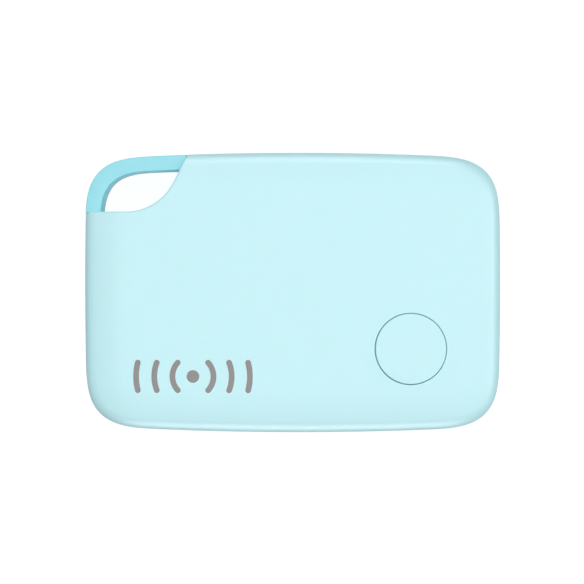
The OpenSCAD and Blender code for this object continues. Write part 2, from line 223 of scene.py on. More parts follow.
def cut_point(offset, u):
    """Point on the cut moved into the body by offset, u millimetres along it from the start of its curve."""
    radius = CUT_RADIUS + offset
    if u <= 0:
        return CUT_CENTRE + np.array([u, -radius])
    angle = min(u / radius, CUT_ANGLE)
    point = CUT_CENTRE + radius * np.array([math.sin(angle), -math.cos(angle)])
    rest = u - radius * CUT_ANGLE
    if rest > 0:
        point = point + rest * np.array([math.cos(CUT_ANGLE), math.sin(CUT_ANGLE)])
    return point


def cut_place(offset, point):
    """The u at which a point lies along the cut moved by offset."""
    v = point - CUT_CENTRE
    if v[0] <= 0:
        return v[0]
    radius = CUT_RADIUS + offset
    angle = math.atan2(v[0], -v[1])
    if angle <= CUT_ANGLE:
        return radius * angle
    return radius * CUT_ANGLE + v[0] * math.cos(CUT_ANGLE) + v[1] * math.sin(CUT_ANGLE)


def crossing(inset, offset, left):
    """The t where the outline set in by inset meets the cut moved into the body by offset."""
    outside, inside = (2.0, 1 + CORNER_T) if left else (1.0, 1 + CORNER_T)
    for _ in range(50):
        middle = (outside + inside) / 2
        if cut_distance(ring_point(inset, middle)) > -offset:
            inside = middle
        else:
            outside = middle
    return (outside + inside) / 2


def profile(rim_steps, crown_steps):
    """Rim profile from the seam upwards, as (inset, z, outward part, upward part of the normal)."""
    rows = [(0, SEAM, 1, 0), (0, (MID + RIM_CENTRE) / 2, 1, 0)]
    for i in range(rim_steps + 1):
        a = (math.pi / 2 - CROWN_ANGLE) * i / rim_steps
        rows.append((RIM_RADIUS * (1 - math.cos(a)), RIM_CENTRE + RIM_RADIUS * math.sin(a),
                     math.cos(a), math.sin(a)))
    for i in range(1, crown_steps + 1):
        b = CROWN_ANGLE * (1 - i / crown_steps)
        rows.append((CROWN_BAND - CROWN_RADIUS * math.sin(b), HEIGHT - CROWN_RADIUS * (1 - math.cos(b)),
                     math.sin(b), math.cos(b)))
    rows.append((FLAT_START, HEIGHT, 0, 1))
    return rows


# ---------------------------------------------------------------- mesh helpers


class Builder:
    """Gathers vertices in millimetres and faces, and turns them into an object in metres."""

    def __init__(self):
        self.points = []
        self.faces = []

    def add(self, x, y, z):
        """Adds a vertex and returns its number."""
        self.points.append((x * MM, y * MM, z * MM))
        return len(self.points) - 1

    def face(self, *corners):
        """Adds a face without its repeated corners, unless fewer than three are left."""
        distinct = [c for i, c in enumerate(corners) if c != corners[i - 1]]
        if len(distinct) > 2:
            self.faces.append(distinct)

    def bridge(self, row_a, row_b, closed=False):
        """Adds the quads between two rows of as many vertices."""
        count = len(row_a)
        for j in range(count if closed else count - 1):
            k = (j + 1) % count
            self.face(row_a[j], row_a[k], row_b[k], row_b[j])

    def build(self, name):
        mesh = bpy.data.meshes.new(name)
        mesh.from_pydata(self.points, [], self.faces)
        bm = bmesh.new()
        bm.from_mesh(mesh)
        bmesh.ops.recalc_face_normals(bm, faces=bm.faces)
        bm.to_mesh(mesh)
        bm.free()
        mesh.validate()
        piece = bpy.data.objects.new(name, mesh)
        bpy.context.scene.collection.objects.link(piece)
        return piece


def add_circle(made, centre, radius, z, steps):
    """A level circle of vertices."""
    return [made.add(centre[0] + radius * math.cos(2 * math.pi * j / steps),
                     centre[1] + radius * math.sin(2 * math.pi * j / steps), z) for j in range(steps)]


def turned(name, points, centre, steps):
    """A closed lathe of (radius, z) points about a vertical axis."""
    made = Builder()
    rows = []
    for radius, z in points:
        if radius < TINY:
            rows.append([made.add(centre[0], centre[1], z)] * steps)
            continue
        rows.append(add_circle(made, centre, radius, z, steps))
    for i, row in enumerate(rows):
        following = rows[(i + 1) % len(rows)]
        if row[0] == row[1] and following[0] == following[1]:
            continue
        made.bridge(row, following, closed=True)
    return made.build(name)


def prism(name, polygon, low, high):
    """An upright solid with a polygon for its plan."""
    made = Builder()
    bottom = [made.add(p[0], p[1], low) for p in polygon]
    top = [made.add(p[0], p[1], high) for p in polygon]
    made.bridge(bottom, top, closed=True)
    made.face(*bottom)
    made.face(*top)
    return made.build(name)


def settle(piece):
    """Applies a piece's modifiers to its mesh."""
    graph = bpy.context.evaluated_depsgraph_get()
    mesh = bpy.data.meshes.new_from_object(piece.evaluated_get(graph))
    old = piece.data
    piece.modifiers.clear()
    piece.data = mesh
    mesh.name = piece.name
    bpy.data.meshes.remove(old)


def combine(piece, tool, operation):
    """Cuts a tool out of a piece or joins it on, and removes the tool."""
    step = piece.modifiers.new("combine", "BOOLEAN")
    step.operation = operation
    step.solver = "EXACT"
    step.object = tool
    settle(piece)
    bpy.data.objects.remove(tool)


def smooth(piece):
    """Shades a piece smooth between faces that meet at less than 32 degrees."""
    piece.data.shade_smooth()
    piece.data.set_sharp_from_angle(angle=math.radians(32))


def body_polygon(inset, offset, columns=220, cut_columns=36):
    """The body's outline set in by inset and cut at the corner, the cut moved into the body by offset."""
    start = crossing(inset, offset, True)
    end = crossing(inset, offset, False) + 4
    ring = [ring_point(inset, start + (end - start) * j / columns) for j in range(columns + 1)]
    u_top = cut_place(offset, ring[-1])
    u_left = cut_place(offset, ring[0])
    cut = [cut_point(offset, u_top + (u_left - u_top) * j / cut_columns) for j in range(1, cut_columns)]
    return ring + cut


def band_polygon(inset, near, far, columns=40, end_columns=9):
    """The band along the cut between two offsets, ended by the outline set in by inset."""

    def end(start, stop, left):
        places = np.linspace(crossing(inset, start, left), crossing(inset, stop, left), end_columns)
        return [ring_point(inset, t) for t in places]

    def along(offset, a, b):
        places = np.linspace(cut_place(offset, a), cut_place(offset, b), columns)
        return [cut_point(offset, u) for u in places[1:-1]]

    left_end = end(near, far, True)
    top_end = end(far, near, False)
    return left_end + along(far, left_end[-1], top_end[0]) + top_end + along(near, top_end[-1], left_end[0])


# ---------------------------------------------------------------- covers


def add_hole(made, steps=144):
    """The rounded lip and the wall of the button's hole. Returns the lip's outer row."""
    edge = 0.07
    depth = FACE_WALL + 0.1
    rows = []
    for a in np.linspace(0, math.pi / 2, 4):
        rows.append((HOLE_RADIUS + edge * (1 - math.sin(a)), HEIGHT - edge * (1 - math.cos(a))))
    rows.append((HOLE_RADIUS, HEIGHT - depth))
    circles = [add_circle(made, BUTTON_CENTRE, radius, z, steps) for radius, z in rows]
    for a, b in zip(circles, circles[1:]):
        made.bridge(a, b, closed=True)
    made.face(*circles[-1])
    return circles[0]


def raise_lip(made):
    """Swells the face slightly up to the edge of the button's hole."""
    face_zone = HEIGHT - FACE_WALL / 2
    for i, (x, y, z) in enumerate(made.points):
        away = math.hypot(x / MM - BUTTON_CENTRE[0], y / MM - BUTTON_CENTRE[1]) - HOLE_RADIUS
        if z / MM > face_zone and away < LIP_WIDTH:
            made.points[i] = (x, y, z + MM * LIP_HEIGHT * (1 - max(0, away) / LIP_WIDTH) ** 2)


def fill_flat(made, outer, hole, z, spacing=1.7):
    """Triangles over the flat of a face, between its outer row and the hole's."""
    flat = [Vector((made.points[i][0] / MM, made.points[i][1] / MM)) for i in outer + hole]
    border = np.array(flat[:len(outer)])
    edges = [(i, (i + 1) % len(outer)) for i in range(len(outer))]
    edges += [(len(outer) + i, len(outer) + (i + 1) % len(hole)) for i in range(len(hole))]
    hole_radius = math.hypot(*(np.array(flat[-1]) - BUTTON_CENTRE)) if hole else 0

    def within(x, y, margin):
        """Whether a point lies on the flat, at least margin away from its borders."""
        if hole and math.hypot(x - BUTTON_CENTRE[0], y - BUTTON_CENTRE[1]) < hole_radius + margin:
            return False
        ahead = np.roll(border, -1, axis=0)
        spans = (border[:, 1] > y) != (ahead[:, 1] > y)
        rise = np.where(ahead[:, 1] == border[:, 1], TINY, ahead[:, 1] - border[:, 1])
        meets = border[:, 0] + (y - border[:, 1]) / rise * (ahead[:, 0] - border[:, 0])
        if not np.count_nonzero(spans & (x < meets)) % 2:
            return False
        return margin <= 0 or np.min(np.hypot(border[:, 0] - x, border[:, 1] - y)) > margin

    # A loose grid of points, with rings closer together round the hole
    inner = [Vector((x, y)) for x in np.arange(-HALF_LENGTH, HALF_LENGTH, spacing)
             for y in np.arange(-HALF_WIDTH, HALF_WIDTH, spacing)
             if within(x, y, spacing / 2 + (LIP_WIDTH if hole else 0))]
    if hole:
        for away in (0.12, 0.27, 0.45, 0.66, 0.9, 1.2, 1.6, 2.1):
            for angle in np.linspace(0, 2 * math.pi, 72, endpoint=False):
                x = BUTTON_CENTRE[0] + (hole_radius + away) * math.cos(angle)
                y = BUTTON_CENTRE[1] + (hole_radius + away) * math.sin(angle)
                if within(x, y, 0.08):
                    inner.append(Vector((x, y)))
    points, _, triangles, sources, _, _ = delaunay_2d_cdt(flat + inner, edges, [], 0, TINY)
    known = outer + hole
    index = []
    for point, source in zip(points, sources):
        old = [s for s in source if s < len(known)]
        index.append(known[old[0]] if old else made.add(point.x, point.y, z))
    for triangle in triangles:
        centre = sum((points[i] for i in triangle), Vector((0, 0))) / 3
        if within(centre.x, centre.y, 0):
            made.face(*(index[i] for i in triangle))


def edge_radius(up):
    """Radius of the cut's rounded edge: small on the sides of the body and full on its flat."""
    return SIDE_EDGE + (CUT_EDGE - SIDE_EDGE) * up


def trimmed_rim(made, rows, spans, columns=440):
    """The rim and crown as rows of vertices round the body. Each row ends where its own span does."""
    blend = 0.1
    first, last = spans[0]
    grid = []
    for row, (start, end) in zip(rows, spans):
        line = []
        for j in range(columns + 1):
            part = j / columns
            t = first + (last - first) * part
            t += (start - first) * max(0, 1 - part / blend) ** 2
            t += (end - last) * max(0, 1 - (1 - part) / blend) ** 2
            line.append(made.add(*ring_point(row[0], t), row[1]))
        grid.append(line)
    for a, b in zip(grid, grid[1:]):
        made.bridge(a, b)
    return grid


def edge_stations(made, rows, spans, grid, columns=46):
    """Stations along the cut, each a vertex, its place in plan, its height and the surface's normal.

    They run up the body's left side, across the flat and down its top side.
    """
    def side_station(row, t, vertex):
        out = ring_outward(row[0], t) * row[2]
        return vertex, ring_point(row[0], t), row[1], Vector((out[0], out[1], row[3]))

    left = [side_station(row, start, line[0]) for row, (start, _), line in zip(rows, spans, grid)]
    top = [side_station(row, end, line[-1]) for row, (_, end), line in zip(rows, spans, grid)]
    offset = CUT_EDGE + FIT_GAP
    flat = []
    for u in np.linspace(cut_place(offset, left[-1][1]), cut_place(offset, top[-1][1]), columns)[1:-1]:
        p = cut_point(offset, u)
        flat.append((made.add(p[0], p[1], HEIGHT), p, HEIGHT, Vector((0, 0, 1))))
    return left, flat, top[::-1]


def round_edge(made, stations, steps=6):
    """The rounded edge from the stations over to the cut's wall, as one column of vertices for each."""
    edge = []
    for vertex, p, z, normal in stations:
        out = Vector((*cut_outward(p), 0))
        inward = (normal - normal.dot(out) * out).normalized()
        radius = edge_radius(normal.z)
        column = [vertex]
        for k in range(1, steps + 1):
            a = math.pi / 2 * k / steps
            q = Vector((*p, z)) + radius * (math.sin(a) * out - (1 - math.cos(a)) * inward)
            column.append(made.add(*q))
        edge.append(column)
    for a, b in zip(edge, edge[1:]):
        made.bridge(a, b)
    return edge


def close_blank(made, stations, edge, seam_row):
    """The cut's wall, planar at both ends and curved between them, and the face at the seam."""
    straight = np.array([-math.sin(CUT_ANGLE), math.cos(CUT_ANGLE)])
    left_end = max(i for i, station in enumerate(stations) if station[1][0] <= CUT_CENTRE[0])
    top_start = min(i for i, station in enumerate(stations)
                    if i > left_end and np.allclose(cut_outward(station[1]), straight))
    lips = [column[-1] for column in edge]
    feet = {}
    for i in range(left_end, top_start + 1):
        x, y, _ = made.points[lips[i]]
        feet[i] = made.add(x / MM, y / MM, SEAM)
    made.face(*lips[:left_end + 1], feet[left_end])
    for i in range(left_end, top_start):
        made.face(lips[i], lips[i + 1], feet[i + 1], feet[i])
    made.face(*lips[top_start:], feet[top_start])
    foot_line = [feet[i] for i in range(top_start, left_end - 1, -1)]
    made.face(*seam_row, *edge[-1][1:], *foot_line, *reversed(edge[0][1:]))


def half_blank(name, with_hole):
    """The upper half of the body as a closed solid, its corner cut off with a rounded edge."""
    made = Builder()
    rows = profile(18, 14)
    offsets = [edge_radius(row[3]) + FIT_GAP for row in rows]
    spans = [(crossing(row[0], offset, True), crossing(row[0], offset, False) + 4)
             for row, offset in zip(rows, offsets)]
    grid = trimmed_rim(made, rows, spans)
    left, flat, top = edge_stations(made, rows, spans, grid)
    hole = add_hole(made) if with_hole else []
    fill_flat(made, grid[-1] + [station[0] for station in reversed(flat)], hole, HEIGHT)
    stations = left + flat + top
    close_blank(made, stations, round_edge(made, stations), grid[0])
    if with_hole:
        raise_lip(made)
    return made.build(name)


def carve_inside(shell, seat_inset):
    """Hollows a half blank for the frame and the board, as seen from the seam upwards."""
    overlap = 0.3
    frame_room = body_polygon(SIDE_WALL, -OVERCUT)
    web_room = band_polygon(WEB_SKIN, -OVERCUT, WEB_WIDTH + FIT_GAP)
    board_room = body_polygon(seat_inset, seat_inset)
    combine(shell, prism("tool", frame_room, MID - OVERCUT, FRAME_HIGH.z), "DIFFERENCE")
    combine(shell, prism("tool", web_room, MID - OVERCUT, FRAME_HIGH.z), "DIFFERENCE")
    combine(shell, prism("tool", board_room, FRAME_HIGH.z - overlap, CEILING), "DIFFERENCE")


def make_front_cover():
    """The front cover: a hollow shell with the button's hole and a post for each board screw."""
    shell = half_blank("front_shell", True)
    carve_inside(shell, SIDE_WALL + SEAT_WIDTH)
    bore, radius, root, chamfer = 0.75, 1.5, 1.6, 0.08
    foot = node_box("circuit_board")[1].z
    post = [(bore, foot), (radius - chamfer, foot), (radius, foot + chamfer), (radius, CEILING - 0.1),
            (root, CEILING + 0.1), (bore, CEILING + 0.1)]
    for low, high in solid_boxes("board_screws"):
        combine(shell, turned("tool", post, (low + high) / 2, 48), "UNION")
    smooth(shell)
    return shell


def make_rear_cover():
    """The rear cover: the same shell without a hole, turned over."""
    shell = half_blank("rear_shell_cover", False)
    carve_inside(shell, SIDE_WALL + SEAL_RECESS)
    for vertex in shell.data.vertices:
        vertex.co.z = HEIGHT * MM - vertex.co.z
    shell.data.flip_normals()
    smooth(shell)
    return shell


def make_loop(low, high, columns=90, edge_steps=5):
    """The keyring loop: a bar with rounded edges, swept round the corner and ended on the cut."""
    outer, inner = LOOP_INSET + LOOP_EDGE, LOOP_INSET + LOOP_WIDTH - LOOP_EDGE
    bottom, top = low + LOOP_EDGE, high - LOOP_EDGE
    section = []
    for inset, z, start in ((outer, bottom, 180), (inner, bottom, 270), (inner, top, 0), (outer, top, 90)):
        for k in range(edge_steps + 1):
            a = math.radians(start + 90 * k / edge_steps)
            section.append((inset + LOOP_EDGE * math.cos(a), z + LOOP_EDGE * math.sin(a)))
    made = Builder()
    lines = []
    for inset, z in section:
        places = np.linspace(crossing(inset, FIT_GAP, False), crossing(inset, FIT_GAP, True), columns + 1)
        lines.append([made.add(*ring_point(inset, t), z) for t in places])
    for a, b in zip(lines, lines[1:] + lines[:1]):
        made.bridge(a, b)
    made.face(*(line[0] for line in lines))
    made.face(*(line[-1] for line in lines))
    return made.build("tool")


def make_frame():
    """The middle frame: the ring inside the covers, the web along the cut and the keyring loop."""
    low, high = FRAME_LOW.z, FRAME_HIGH.z
    web = band_polygon(WEB_SKIN + FIT_GAP, 0.0, WEB_WIDTH - 0.2)
    room = body_polygon(RING_INNER, WEB_WIDTH)
    ring = prism("keyring_frame", body_polygon(RING_OUTER, WEB_WIDTH / 2), low, high)
    combine(ring, prism("tool", web, low, high), "UNION")
    combine(ring, prism("tool", room, low - OVERCUT, high + OVERCUT), "DIFFERENCE")
    combine(ring, make_loop(low, high), "UNION")
    smooth(ring)
    return ring


def make_button(edge_steps=6):
    """The button's cap: a flat face with a soft edge, a skirt and a retaining flange."""
    edge, chamfer, skirt, thickness = 0.16, 0.05, 0.9, 0.25
    flange = BUTTON_HIGH.x - BUTTON_CENTRE[0]
    bottom = BUTTON_LOW.z
    top = bottom + thickness
    recess = CAP_RADIUS - skirt
    points = [(0, top + thickness), (recess, top + thickness), (recess, bottom), (flange - chamfer, bottom),
              (flange, bottom + chamfer), (flange, top - chamfer), (flange - chamfer, top),
              (CAP_RADIUS + chamfer, top), (CAP_RADIUS, top + chamfer)]
    for k in range(edge_steps + 1):
        a = math.pi / 2 * k / edge_steps
        points.append((CAP_RADIUS - edge * (1 - math.cos(a)), HEIGHT - edge * (1 - math.sin(a))))
    # A narrow ring inside the edge keeps the shading of the flat flat
    points += [(CAP_RADIUS - edge - 0.15, HEIGHT), (0, HEIGHT)]
    cap = turned("button_face", points, CAP_CENTRE, 144)
    smooth(cap)
    return cap


def make_mark():
    """A generic signal mark printed on the face: a dot between three pairs of arcs."""
    centre = np.array([-12.5, -10.55])
    dot, stroke, half_height = 0.8, 0.72, 1.75
    bottom, top = HEIGHT - 0.01, HEIGHT + 0.01
    made = Builder()

    def around(middle, radius, angle):
        return middle + radius * np.array([math.cos(angle), math.sin(angle)])

    def slab(outline):
        low = [made.add(p[0], p[1], bottom) for p in outline]
        high = [made.add(p[0], p[1], top) for p in outline]
        made.bridge(low, high, closed=True)
        made.face(*low)
        made.face(*high)

    slab([around(centre, dot, a) for a in np.linspace(0, 2 * math.pi, 33)[:-1]])
    for radius in (2.6, 4.9, 7.2):
        half = math.asin(half_height / radius)
        for side in (0, math.pi):
            outline = []
            for r, start, end in ((radius + stroke / 2, -half, half), (radius - stroke / 2, half, -half)):
                outline += [around(centre, r, side + a) for a in np.linspace(start, end, 17)]
                cap = around(centre, radius, side + end)
                turn = side + end + (0 if end > 0 else math.pi)
                outline += [around(cap, stroke / 2, turn + b) for b in np.linspace(0, math.pi, 9)[1:-1]]
            slab(outline)
    return made.build("signal_mark")


def add_bar(made, low, high, bevel):
    """A small bar with bevelled vertical and top edges."""
    rows = []
    for z, inset in ((low.z, 0), (high.z - bevel, 0), (high.z, bevel)):
        left, right, front, back = low.x + inset, high.x - inset, low.y + inset, high.y - inset
        rows.append([made.add(x, y, z) for x, y in (
            (left + bevel, front), (right - bevel, front), (right, front + bevel), (right, back - bevel),
            (right - bevel, back), (left + bevel, back), (left, back - bevel), (left, front + bevel))])
    for a, b in zip(rows, rows[1:]):
        made.bridge(a, b, closed=True)
    made.face(*rows[0])
    made.face(*rows[-1])


def add_fillet(made, low, high, axis, foot, length):
    """A wedge of solder as wide as a component, from its end face at foot out along an axis."""
    side = 1 - axis
    ends = []
    for where in (low[side], high[side]):
        corner = [0.0, 0.0]
        corner[side] = where
        corner[axis] = foot
        base = made.add(*corner, low.z)
        tip = made.add(*corner, low.z + 0.6 * (high.z - low.z))
        corner[axis] = foot + length
        ends.append((base, tip, made.add(*corner, low.z)))
    (p, q, r), (s, u, v) = ends
    made.face(p, q, r)
    made.face(s, u, v)
    made.face(p, q, u, s)
    made.face(q, r, v, u)
    made.face(r, p, s, v)


def make_terminals():
    """Tinned ends and solder fillets on the two-ended board components."""
    made = Builder()
    skin, fillet = 0.02, 0.18
    for node in ("capacitors", "resistors", "inductors", "chip_antenna", "main_crystal", "sleep_crystal"):
        for low, high in solid_boxes(node):
            axis = 0 if high.x - low.x > high.y - low.y else 1
            tinned = 0.24 * (high[axis] - low[axis])
            for far_end in (False, True):
                a = low - Vector((skin, skin, 0))
                b = high + Vector((skin, skin, skin))
                if far_end:
                    a[axis] = high[axis] - tinned
                else:
                    b[axis] = low[axis] + tinned
                add_bar(made, a, b, 0.03)
                if far_end:
                    add_fillet(made, low, high, axis, b[axis], fillet)
                else:
                    add_fillet(made, low, high, axis, a[axis], -fillet)
    return made.build("component_ends")


def make_leads():
    """The rows of tinned lands round the radio chip's foot, and the switch's four feet."""
    made = Builder()
    low, high = node_box("bluetooth_chip")
    across, out, margin = 0.11, 0.12, 0.36
    for along in np.linspace(margin, high.x - low.x - margin, 10):
        for x, y, dx, dy in ((low.x + along, low.y, across, out), (low.x + along, high.y, across, out),
                             (low.x, low.y + along, out, across), (high.x, low.y + along, out, across)):
            add_bar(made, Vector((x - dx, y - dy, low.z)), Vector((x + dx, y + dy, low.z + 0.16)), 0.02)
    low, high = node_box("switch_base")
    half, from_corner = 0.35, 0.9
    for x in (low.x, high.x):
        for y in (low.y + from_corner, high.y - from_corner):
            foot = Vector((x, y, low.z))
            add_bar(made, foot - Vector((half, half, 0)), foot + Vector((half, half, 0.14)), 0.03)
    return made.build("solder_lands")


# ---------------------------------------------------------------- materials


def new_material(name, color, roughness, metallic=0.0):
    """A plain material, with its node tree and its shader."""
    material = bpy.data.materials.new(name)
    material.use_nodes = True
    shader = material.node_tree.nodes["Principled BSDF"]
    shader.inputs["Base Color"].default_value = (*color, 1)
    shader.inputs["Roughness"].default_value = roughness
    shader.inputs["Metallic"].default_value = metallic
    material.diffuse_color = (*color, 1)
    return material, material.node_tree, shader


def object_noise(tree, scale, detail=3.0):
    """A noise texture in the piece's own coordinates, scale in features per metre."""
    place = tree.nodes.new("ShaderNodeTexCoord")
    noise = tree.nodes.new("ShaderNodeTexNoise")
    noise.inputs["Scale"].default_value = scale
    noise.inputs["Detail"].default_value = detail
    tree.links.new(place.outputs["Object"], noise.inputs["Vector"])
    return noise


def ramp(tree, source, stops):
    """Maps a value through colour stops of (place, colour)."""
    node = tree.nodes.new("ShaderNodeValToRGB")
    while len(node.color_ramp.elements) < len(stops):
        node.color_ramp.elements.new(0.5)
    for element, (place, color) in zip(node.color_ramp.elements, stops):
        element.position = place
        element.color = (*color, 1)
    tree.links.new(source, node.inputs["Fac"])
    return node


def mixed(tree, factor, first, second):
    """Mixes a colour output with a fixed colour by a grey level."""
    node = tree.nodes.new("ShaderNodeMix")
    node.data_type = "RGBA"
    tree.links.new(factor, node.inputs["Factor"])
    tree.links.new(first, node.inputs["A"])
    node.inputs["B"].default_value = (*second, 1)
    return node


def grey(value):
    return (value, value, value)


def upward(tree):
    """How nearly a surface faces straight up or down, from 0 to 1."""
    facing = tree.nodes.new("ShaderNodeNewGeometry")
    split = tree.nodes.new("ShaderNodeSeparateXYZ")
    tree.links.new(facing.outputs["Normal"], split.inputs["Vector"])
    size = tree.nodes.new("ShaderNodeMath")
    size.operation = "ABSOLUTE"
    tree.links.new(split.outputs["Z"], size.inputs[0])
    return size.outputs["Value"]


def tint(color, factor):
    return tuple(min(1, c * factor) for c in color)


def surface(name, color, roughness, metallic=0.0, mottle=0.015, grain=0.02, cells=260, pores=14000,
            stretch=None):
    """A finish with gentle mottling, uneven gloss and a fine grain.

    cells and pores are features per metre. stretch draws the grain out along one axis.
    """
    material, tree, shader = new_material(name, color, roughness, metallic)
    shade = ramp(tree, object_noise(tree, cells).outputs["Fac"],
                 [(0.3, tint(color, 1 - mottle)), (0.7, tint(color, 1 + mottle * 0.7))])
    tree.links.new(shade.outputs["Color"], shader.inputs["Base Color"])
    rough = ramp(tree, object_noise(tree, 3.5 * cells).outputs["Fac"],
                 [(0.3, grey(roughness * 0.93)), (0.7, grey(roughness * 1.1))])
    tree.links.new(rough.outputs["Color"], shader.inputs["Roughness"])
    bump = tree.nodes.new("ShaderNodeBump")
    bump.inputs["Strength"].default_value = grain
    bump.inputs["Distance"].default_value = 0.00002
    fine = object_noise(tree, pores, 2)
    if stretch:
        place = fine.inputs["Vector"].links[0].from_socket
        mapping = tree.nodes.new("ShaderNodeMapping")
        mapping.inputs["Scale"].default_value = stretch
        tree.links.new(place, mapping.inputs["Vector"])
        tree.links.new(mapping.outputs["Vector"], fine.inputs["Vector"])
    tree.links.new(fine.outputs["Fac"], bump.inputs["Height"])
    tree.links.new(bump.outputs["Normal"], shader.inputs["Normal"])
    return material, tree, shader


def moulded(name, color, roughness, depth, **finish):
    """Satin plastic that carries some light under its surface, depth being how much."""
    material, tree, shader = surface(name, color, roughness, **finish)
    shader.inputs["Subsurface Weight"].default_value = depth
    shader.inputs["Subsurface Radius"].default_value = (0.4, 0.8, 1.0)
    shader.inputs["Subsurface Scale"].default_value = 0.0006
    return material, tree, shader


def aqua_plastic(name):
    """The covers' plastic: finely textured on the flats, smoothed by handling towards the rim."""
    material, tree, shader = moulded(name, (0.53, 0.865, 0.92), 0.40, 0.12, mottle=0.006)
    smoothed = shader.inputs["Roughness"].links[0].from_socket
    flats = ramp(tree, upward(tree), [(0.93, grey(0)), (0.985, grey(1))])
    rough = mixed(tree, flats.outputs["Color"], smoothed, grey(0.56))
    tree.links.new(rough.outputs["Result"], shader.inputs["Roughness"])
    return material


def brushed(name, color, roughness, stretch=(1, 0.04, 1)):
    """Rolled or brushed metal, with its grain drawn out along one axis."""
    return surface(name, color, roughness, 1.0, mottle=0.03, grain=0.07, cells=700, pores=9000,
                   stretch=stretch)[0]


def foamed(name, color):
    """Open foam or felt, with pores deep enough to show."""
    material, tree, shader = surface(name, color, 0.9, mottle=0.25, grain=0.9, cells=2600, pores=5200)
    shader.inputs["Specular IOR Level"].default_value = 0.2
    return material


def solder_mask(name):
    """Green mask over copper areas and traces, with bare glass-fibre board at the cut edges."""
    mask, copper = (0.012, 0.105, 0.045), (0.03, 0.21, 0.09)
    fibre, gold = (0.45, 0.40, 0.20), (0.85, 0.62, 0.25)
    material, tree, shader = surface(name, mask, 0.28, mottle=0.05, grain=0.02)
    place = tree.nodes.new("ShaderNodeTexCoord")
    near, next_near = (tree.nodes.new("ShaderNodeTexVoronoi") for _ in range(2))
    for cells, feature in ((near, "F1"), (next_near, "F2")):
        cells.feature = feature
        cells.distance = "CHEBYCHEV"
        cells.inputs["Scale"].default_value = 520
        tree.links.new(place.outputs["Object"], cells.inputs["Vector"])
    gap = tree.nodes.new("ShaderNodeMath")
    gap.operation = "SUBTRACT"
    tree.links.new(next_near.outputs["Distance"], gap.inputs[0])
    tree.links.new(near.outputs["Distance"], gap.inputs[1])
    areas = ramp(tree, gap.outputs["Value"], [(0.05, mask), (0.08, copper)])
    vias = ramp(tree, near.outputs["Distance"],
                [(0.05, grey(0)), (0.06, grey(1)), (0.11, grey(1)), (0.12, grey(0))])
    ringed = mixed(tree, vias.outputs["Color"], areas.outputs["Color"], gold)
    edge = ramp(tree, upward(tree), [(0.4, grey(1)), (0.6, grey(0))])
    whole = mixed(tree, edge.outputs["Color"], ringed.outputs["Result"], fibre)
    tree.links.new(whole.outputs["Result"], shader.inputs["Base Color"])
    tree.links.new(vias.outputs["Color"], shader.inputs["Metallic"])
    return material


def inside_materials():
    """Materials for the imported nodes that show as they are, by node name."""
    silver = brushed("tinned_steel", (0.72, 0.73, 0.74), 0.30)
    cell_steel = brushed("cell_steel", (0.66, 0.67, 0.68), 0.24, stretch=(0.05, 1, 1))
    nickel = brushed("nickel_strip", (0.70, 0.68, 0.64), 0.26)
    return {
        "button_pad": surface("pad_silicone", (0.11, 0.125, 0.135), 0.62, mottle=0.05, grain=0.2)[0],
        "circuit_board": solder_mask("solder_mask"),
        "bluetooth_chip": surface("chip_resin", (0.018, 0.019, 0.022), 0.48, mottle=0.15, grain=0.35)[0],
        "main_crystal": silver,
        "sleep_crystal": silver,
        "chip_antenna": surface("antenna_ceramic", (0.80, 0.77, 0.70), 0.50, mottle=0.03, grain=0.15)[0],
        "capacitors": surface("capacitor_ceramic", (0.42, 0.27, 0.14), 0.42, mottle=0.08, grain=0.1)[0],
        "resistors": surface("resistor_glaze", (0.012, 0.012, 0.016), 0.22, mottle=0.1)[0],
        "inductors": surface("ferrite_body", (0.07, 0.065, 0.06), 0.60, mottle=0.12, grain=0.3)[0],
        "switch_base": surface("switch_nylon", (0.013, 0.013, 0.014), 0.50, mottle=0.1, grain=0.15)[0],
        "switch_dome": brushed("dome_bronze", (0.72, 0.60, 0.32), 0.20),
        "switch_plunger": surface("plunger_acetal", (0.76, 0.74, 0.68), 0.38, mottle=0.02)[0],
        "switch_plate": silver,
        "negative_contact": nickel,
        "positive_contact": nickel,
        "cell_can": cell_steel,
        "cell_cap": brushed("cell_cap_steel", (0.60, 0.61, 0.62), 0.30, stretch=(1, 0.05, 1)),
        "cell_gasket": surface("gasket_polymer", (0.03, 0.031, 0.033), 0.45, mottle=0.08)[0],
        "cell_anode": surface("lithium_metal", (0.42, 0.43, 0.46), 0.45, 1.0, mottle=0.08, grain=0.3)[0],
        "cell_cathode": surface("manganese_pellet", (0.02, 0.02, 0.021), 0.85, mottle=0.2, grain=0.5)[0],
        "cell_separator": foamed("separator_felt", (0.82, 0.81, 0.77)),
        "buzzer_plate": brushed("buzzer_brass", (0.78, 0.56, 0.20), 0.28),
        "buzzer_ceramic": surface("buzzer_silvering", (0.74, 0.71, 0.64), 0.52, mottle=0.05, grain=0.2)[0],
        "buzzer_tape": surface("tape_film", (0.84, 0.84, 0.82), 0.58, mottle=0.03)[0],
        "buzzer_springs": brushed("spring_bronze", (0.76, 0.58, 0.26), 0.24),
        "board_screws": brushed("screw_steel", (0.58, 0.59, 0.60), 0.26),
        "cell_foam": foamed("cell_foam_black", (0.045, 0.048, 0.052)),
        "seal_ring": surface("seal_silicone", (0.22, 0.25, 0.26), 0.60, mottle=0.05, grain=0.2)[0],
    }


def set_material(piece, material):
    """Gives a piece its only material."""
    piece.data.materials.clear()
    piece.data.materials.append(material)


# ---------------------------------------------------------------- studio


